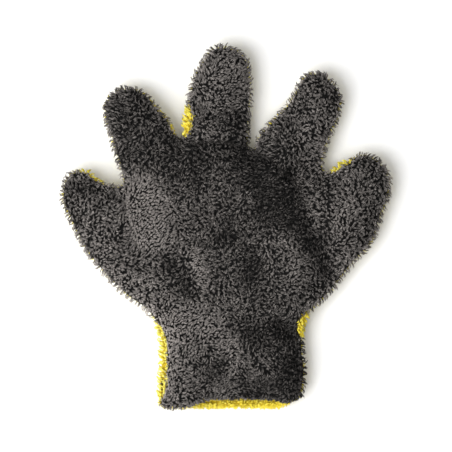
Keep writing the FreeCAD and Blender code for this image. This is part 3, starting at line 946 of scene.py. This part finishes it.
def seam_piece(section, points, normals, names):
    """The joined, overlocked edges of the two cloths, turned in along the seam."""
    inward = unit(-normals * np.array([1, 1, 0.2]))
    rings, faces, start = [], [], 0
    runs = np.split(np.arange(len(names)), np.nonzero(names[1:] != names[:-1])[0] + 1)
    turn = np.linspace(0, 2 * math.pi, 8, endpoint=False)
    for run in runs:
        if names[run[0]] != section:
            continue
        run = np.r_[run, run[-1] + 1] if run[-1] + 1 < len(names) else run
        if len(run) < 3:
            continue
        line = spread(np.hstack([points[run], inward[run]]), 0.8)
        gone = np.arange(len(line))
        wide = ALLOWANCE + ALLOWANCE_WAVE * np.sin(gone * 2 * math.pi / 3)
        middle = line[:, :3] + line[:, 3:] * (wide + 0.5)[:, None]
        thick = ALLOWANCE_THICK + THICK_WAVE * np.cos(gone * 2 * math.pi / 3)
        ring = middle[:, None] + (
            np.cos(turn)[None, :, None] * (line[:, 3:] * wide[:, None])[:, None]
            + np.sin(turn)[None, :, None] * (np.array([0, 0, 1.0]) * thick[:, None])[:, None]
        )
        ring[[0, -1]] = middle[[0, -1], None] + 0.3 * (ring[[0, -1]] - middle[[0, -1], None])
        rings.append(ring.reshape(-1, 3))
        faces.append(strip_faces(len(line), 8, wrap=True) + start)
        start += len(line) * 8
    piece = new_mesh(f"{section}_edge_seam_turned", np.vstack(rings), np.vstack(faces))
    paint(piece, *looks["seam"])
    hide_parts(f"{section}_edge_seam")
    attach(piece, section)
    return piece


def hem_surface(points, normals, row, gap):
    """The cloth's end turned under at the mouth: a rounded lip, then a flap inside the cuff."""
    edge, up = points[row], unit(normals[row])
    up = unit(up * np.array([0.4, 0.0, 1.0]))
    out = np.array([0.0, -1.0, 0.0])
    round_lip = np.minimum(1.6, 0.15 * gap + 0.3)[:, None]
    lines = []
    for a in np.linspace(0, math.pi, LIP_ROWS):
        lines.append(edge - up * round_lip + round_lip * (up * math.cos(a) + out * math.sin(a)))
    for deep in np.linspace(2, HEM_DEPTH - 4, LIP_ROWS):
        line = edge - 2 * up * round_lip - out * deep
        line[:, 2] += cloth_height(line[:, :2], points) - edge[:, 2]
        lines.append(line)
    return np.array(lines)


def hem(side, colour, points, normals, row, gap):
    """One half of the cuff's hem with its pile. Gives the hem's rows of points."""
    grid = hem_surface(points, normals, row, gap)
    rows, columns = grid.shape[:2]
    spots = grid.reshape(-1, 3)
    quads = strip_faces(rows, columns)
    if side == "front":
        quads = quads[:, ::-1]
    _, plain, shaded_ground = looks[colour]
    piece = new_mesh(f"cuff_{side}_hem_cloth", spots, quads)
    paint(piece, shaded_ground, plain)
    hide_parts(f"cuff_{side}_hem")
    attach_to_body(piece, "palm")
    faces = as_triangles(quads)
    out = point_normals(spots, faces)
    length = np.repeat([LIP_PILE, FLAP_PILE], [LIP_ROWS * columns, (rows - LIP_ROWS) * columns])
    piles = pile_on(
        f"cuff_{side}_hem", "palm", colour, (spots, out), spots[:, :2], faces, HEM_STRANDS,
        thick=HEM_THICK, short=length,
    )
    return grid


def elastic_band(front, back):
    """The band inside the hem, drawn along between the cloth and its turned end."""
    centre = []
    for grid, order in ((front, slice(None)), (back, slice(None, None, -1))):
        middle = (grid[0] + grid[LIP_ROWS - 1]) / 2 + np.array([0, ELASTIC_HALF + 3.0, 0])
        centre.append(middle[order][2:-2])
    loop = np.vstack(centre)
    loop = spread(np.vstack([loop, loop[:1]]), 1.0)[:-1]
    ahead = unit(np.roll(loop, -1, axis=0) - np.roll(loop, 1, axis=0))
    wide = np.array([0.0, 1.0, 0.0])
    thick = unit(np.cross(ahead, wide))
    wave = 0.2 * np.sin(np.arange(len(loop)) * 0.9)[:, None]
    rings = []
    for across, deep in ((-1, -0.4), (1, -0.4), (1, 0.4), (-1, 0.4)):
        rings.append(loop + wide * across * ELASTIC_HALF + thick * (deep + wave))
    ring = np.stack(rings, axis=1)
    ring = np.vstack([ring, ring[:1]])
    piece = new_mesh("cuff_elastic_band", ring.reshape(-1, 3), strip_faces(len(ring), 4, wrap=True))
    paint(piece, *looks["elastic"])
    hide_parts("cuff_elastic")
    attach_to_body(piece, "palm")


def stitches(parts):
    """Short thread stitches along the top of the hem on both faces."""
    turn = np.linspace(0, 2 * math.pi, 6, endpoint=False)
    spots, faces, start = [], [], 0
    for points, sign in parts:
        cuff = points[points[:, 1] < MOUTH + HEM_DEPTH + 2]
        starts = np.arange(cuff[:, 0].min() + 8, cuff[:, 0].max() - 8, STITCH_STEP)
        for below in STITCH_ROWS:
            row_y = MOUTH + HEM_DEPTH - below
            steps = np.linspace(0, STITCH_LENGTH, 5)
            line = np.array([[x + d, row_y] for x in starts for d in steps])
            z = cloth_height(line, points).reshape(-1, 5)
            line = line.reshape(-1, 5, 2)
            for one, height in zip(line, z):
                arch = np.sin(np.linspace(0, math.pi, 5))
                middle = np.column_stack([one, height + sign * (THREAD_RISE * arch - 0.1)])
                size = THREAD + 0.2 * arch
                ring = middle[:, None] + size[:, None, None] * np.column_stack(
                    [np.zeros(6), np.cos(turn), np.sin(turn)]
                )
                spots.append(ring.reshape(-1, 3))
                faces.append(strip_faces(5, 6, wrap=True) + start)
                start += 30
    piece = new_mesh("cuff_hem_thread", np.vstack(spots), np.vstack(faces))
    paint(piece, *looks["thread"])
    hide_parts("cuff_hem_stitching")
    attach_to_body(piece, "palm")


seam, flat, far, triangles, on_seam, on_mouth, grey, yellow = puffed()
grey, yellow = inflate(grey, yellow, triangles, on_seam, on_mouth)
grey[:, 2] -= CREST_CUT * np.maximum(grey[:, 2] - CREST, 0)

# Along the seam the two cloths share a direction, so that their pile parts there without a gap.
grey_normals = unit(point_normals(grey, triangles))
yellow_normals = unit(point_normals(yellow, triangles[:, ::-1]))
apart = ease(rolled(seam) / 3)[:, None]
both = unit(grey_normals[on_seam] + yellow_normals[on_seam])
grey_normals[on_seam] = unit(both + apart * (grey_normals[on_seam] - both))
yellow_normals[on_seam] = unit(both + (0.8 + 0.2 * apart) * (yellow_normals[on_seam] - both))

middles = flat[triangles].mean(axis=1)
cell_section = section_of(middles)
seam_section = section_of(seam)
at_edge = (far[triangles].min(axis=1) < 0.3).astype(int)
flat_areas = triangle_areas(np.column_stack([flat, np.zeros(len(flat))]), triangles)
cuff_deep = 1 - ease((flat[:, 1] - MOUTH - 18) / 14)
layer = (LAYER + CUFF_LAYER * cuff_deep * ease(far / 10))[:, None]

# The yellow pile is short at the seam, but for where the cloth rolls up and shows.
tucked = 1 - TUCK * (1 - ease(far / 6)) * (1 - ease(rolled(flat) / 3))
# Painted light along the seam: the strands there get less of their painted root shade.
edge_painted_light = EDGE_PAINTED_LIGHT * (1 - ease(far / 5))
grey_count = crowded(GREY_STRANDS, grey, triangles, flat_areas, at_edge)
yellow_count = crowded(YELLOW_STRANDS, yellow, triangles, flat_areas, at_edge)
sides = (
    ("front", "grey", grey, grey_normals, 1, grey_count, GREY_THICK, 1.0),
    ("back", "yellow", yellow, yellow_normals, -1, yellow_count, YELLOW_THICK, tucked),
)

for section in sorted(set(cell_section)):
    chosen = cell_section == section
    inner = chosen & (middles[:, 1] > MOUTH + LINING_START)
    turned = seam_piece(section, grey[on_seam], both, seam_section)
    for side, colour, points, normals, order, per_cell, thick, short in sides:
        spots, faces = part_of(points, triangles, chosen)
        cloth = plush_cloth(section, side, colour, spots, faces[:, ::order])
        piles = pile_on(
            f"{section}_{side}", section, colour, (points, normals), flat, triangles[chosen],
            per_cell[chosen], thick=thick, short=short, pale=edge_painted_light,
        )
        spots, faces = part_of(points - normals * layer, triangles, inner)
        lining = lining_cloth(section, side, spots, faces[:, ::-order])
        if side == "front":
            piles = piles + [turned]

row = on_mouth[::-1]
gap = (grey - yellow)[row, 2]
front_hem = hem("front", "grey", grey, grey_normals, row, gap)
back_hem = hem("back", "yellow", yellow, yellow_normals, row, gap)
elastic_band(front_hem, back_hem)
stitches(((grey, 1), (yellow, -1)))


def stage_scene():
    """Pale floor, soft light from the left, and the camera straight above."""
    bpy.ops.mesh.primitive_plane_add(size=12, location=(0, 0, 0))
    floor = bpy.context.object
    floor.name = "floor"
    made, _, _, shader = material("floor", (0.9, 0.9, 0.9))
    shader.inputs["Base Color"].default_value = (0.9, 0.9, 0.9, 1)
    shader.inputs["Roughness"].default_value = 0.9
    floor.data.materials.append(made)
    world = bpy.data.worlds.new("studio")
    bpy.context.scene.world = world
    world.use_nodes = True
    world.node_tree.nodes["Background"].inputs["Color"].default_value = (1, 1, 1, 1)
    world.node_tree.nodes["Background"].inputs["Strength"].default_value = WORLD_LIGHT
    for name, place, size, power in LAMPS:
        data = bpy.data.lights.new(name, "AREA")
        data.size = size
        data.energy = power
        lamp = bpy.data.objects.new(name, data)
        lamp.location = place
        lamp.rotation_euler = (-Vector(place)).to_track_quat("-Z", "Y").to_euler()
        lamp.visible_camera = False
        bpy.context.scene.collection.objects.link(lamp)
    camera_data = bpy.data.cameras.new("camera")
    camera = bpy.data.objects.new("camera", camera_data)
    bpy.context.scene.collection.objects.link(camera)
    camera.location = (*CAMERA_PLACE, CAMERA_HEIGHT + MIDDLE * MM)
    camera_data.sensor_width = SENSOR
    camera_data.lens = SENSOR * CAMERA_HEIGHT / SEEN_WIDTH
    camera_data.clip_end = 100
    bpy.context.scene.camera = camera
    bpy.context.scene.view_settings.view_transform = "Standard"


stage_scene()
